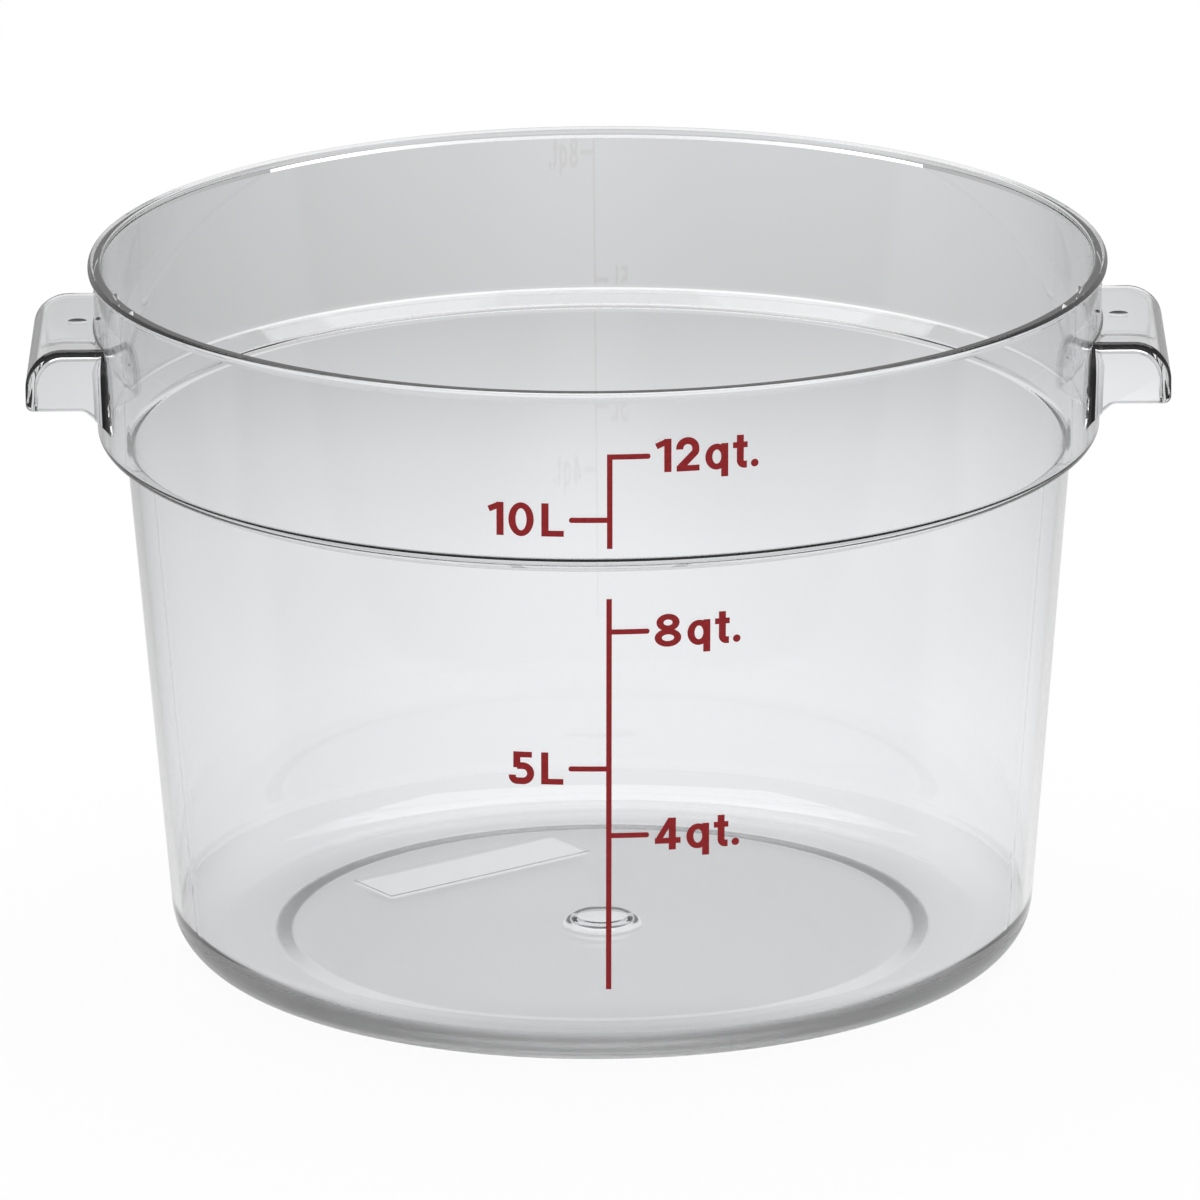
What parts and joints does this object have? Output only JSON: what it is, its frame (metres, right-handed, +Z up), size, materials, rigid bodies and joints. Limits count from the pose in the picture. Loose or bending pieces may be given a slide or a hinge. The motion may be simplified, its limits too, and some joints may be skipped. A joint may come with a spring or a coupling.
{
  "type": "round food storage container",
  "caption": "Clear round food tub with a stepped shoulder, a beaded rim, hooded side handles and a printed volume scale.",
  "frame": {"origin": "centre of the foot, on the surface that the tub stands on", "axes": "+Z up along the tub's axis, handles along +X and -X, printed scale facing -Y"},
  "size_m": [0.341, 0.3052, 0.2145],
  "materials": {
    "clear_polycarbonate": "clear, polished moulding",
    "red_ink": "screen-printed ink"
  },
  "bodies": {
    "root": {"tub": "clear_polycarbonate", "handle_left": "clear_polycarbonate", "handle_right": "clear_polycarbonate", "scale_line_lower": "red_ink", "scale_line_upper": "red_ink", "tick_4_quart": "red_ink", "tick_8_quart": "red_ink", "tick_12_quart": "red_ink", "tick_5_litre": "red_ink", "tick_10_litre": "red_ink"}
  },
  "joints": []
}
